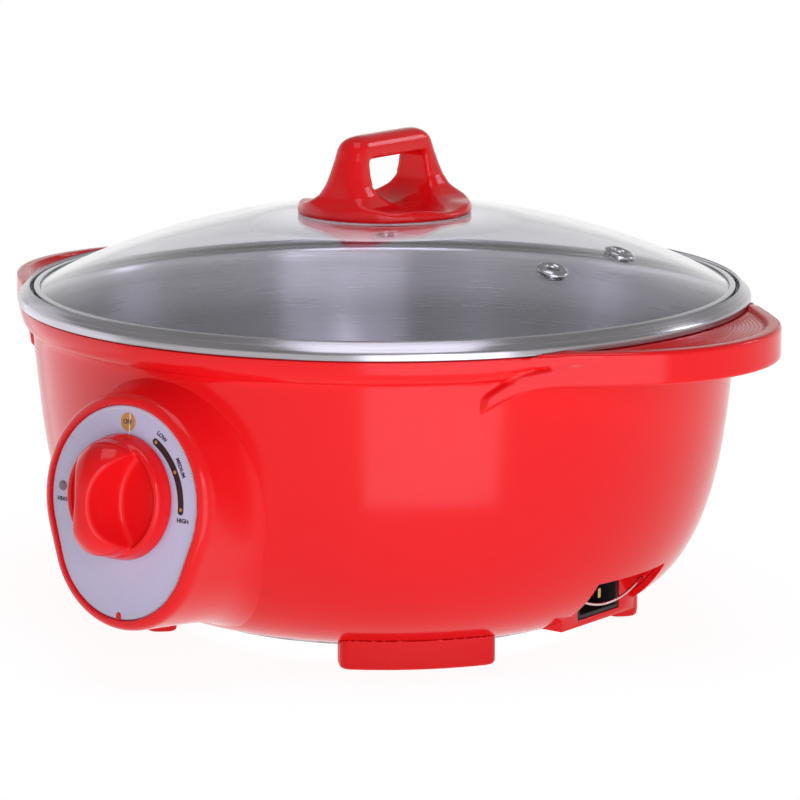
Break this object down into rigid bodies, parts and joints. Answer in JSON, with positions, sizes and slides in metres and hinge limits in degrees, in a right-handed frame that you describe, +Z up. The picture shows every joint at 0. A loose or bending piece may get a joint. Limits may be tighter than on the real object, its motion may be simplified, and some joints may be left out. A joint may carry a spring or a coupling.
{
  "type": "electric wok",
  "caption": "Red electric wok with a fixed steel pot, rounded side ears, a lift-off glass lid with a loop handle, and a front control box with a thermostat knob.",
  "frame": {"origin": "the pot's axis at the level of the worktop, under the foot pads", "axes": "+Z up, -Y out of the control panel, +X towards the ear on the power inlet's side"},
  "size_m": [0.382, 0.3627, 0.2131],
  "materials": {
    "red_shell": "high gloss",
    "steel_pot": "brushed outside, satin inside",
    "steel_parts": "plain",
    "aluminium_parts": "cast",
    "element_metal": "dull oxide",
    "clear_glass": "clear, tempered",
    "black_plastic": "fine spark",
    "fascia_grey": "satin print on sheet",
    "thermo_plastic": "plain",
    "brass_parts": "plain",
    "silicone": "matt",
    "pad_rubber": "matt",
    "lamp_lens": "smoked clear",
    "lamp_body": "clear",
    "foot_red": "satin",
    "bail_wire": "polished",
    "sleeve_white": "woven",
    "lead_brown": "plain",
    "lead_blue": "plain",
    "lead_black": "plain",
    "lead_green": "plain",
    "cover_metal": "galvanised"
  },
  "bodies": {
    "cooker": {"outer_shell": "red_shell", "inner_pot": "steel_pot", "heat_plate": "aluminium_parts", "heating_element": "element_metal", "element_terminals": "steel_parts", "heat_reflector": "aluminium_parts", "stud_spacers": "steel_parts", "pot_stud": "steel_parts", "stud_nut": "steel_parts", "earth_tag": "brass_parts", "sensor_bulb": "brass_parts", "sensor_clip": "steel_parts", "capillary_tube": "brass_parts", "base_cover": "cover_metal", "base_screws": "steel_parts", "foot_back_right": "foot_red", "foot_back_left": "foot_red", "foot_front_left": "foot_red", "foot_front_right": "foot_red", "foot_pads": "pad_rubber", "foot_screws": "steel_parts", "control_box": "red_shell", "control_box_screws": "steel_parts", "fascia_plate": "fascia_grey", "thermostat_body": "thermo_plastic", "thermostat_bush": "brass_parts", "thermostat_screws": "steel_parts", "indicator_lens": "lamp_lens", "neon_lamp": "lamp_body", "inlet_housing": "red_shell", "inlet_screws": "steel_parts", "power_inlet": "black_plastic", "inlet_pins": "brass_parts", "thermal_fuse": "sleeve_white", "wire_live_inlet": "lead_brown", "wire_live_panel": "lead_brown", "wire_neutral": "lead_blue", "wire_switched": "lead_black", "wire_earth": "lead_green"},
    "lid": {"lid_glass": "clear_glass", "lid_band": "steel_pot", "lid_handle": "red_shell", "handle_gasket": "silicone", "handle_screw": "steel_parts", "handle_washer": "steel_parts", "vent_grommets": "steel_parts"},
    "knob": {"knob": "red_shell", "thermostat_shaft": "steel_parts"},
    "bail": {"cord_bail": "bail_wire"}
  },
  "joints": [
    {"name": "lid_lift", "type": "slide", "parent": "cooker", "child": "lid", "axis": [0, 0, 1], "range_m": [0, 0.15]},
    {"name": "knob_turn", "type": "hinge", "parent": "cooker", "child": "knob", "pos_m": [0, -0.1747, 0.081], "axis": [0, 0.9951, -0.0993], "range_deg": [0, 90]},
    {"name": "bail_swing", "type": "hinge", "parent": "cooker", "child": "bail", "pos_m": [0.1202, 0, 0.0266], "axis": [0, -1, 0], "range_deg": [-30, 120]}
  ]
}
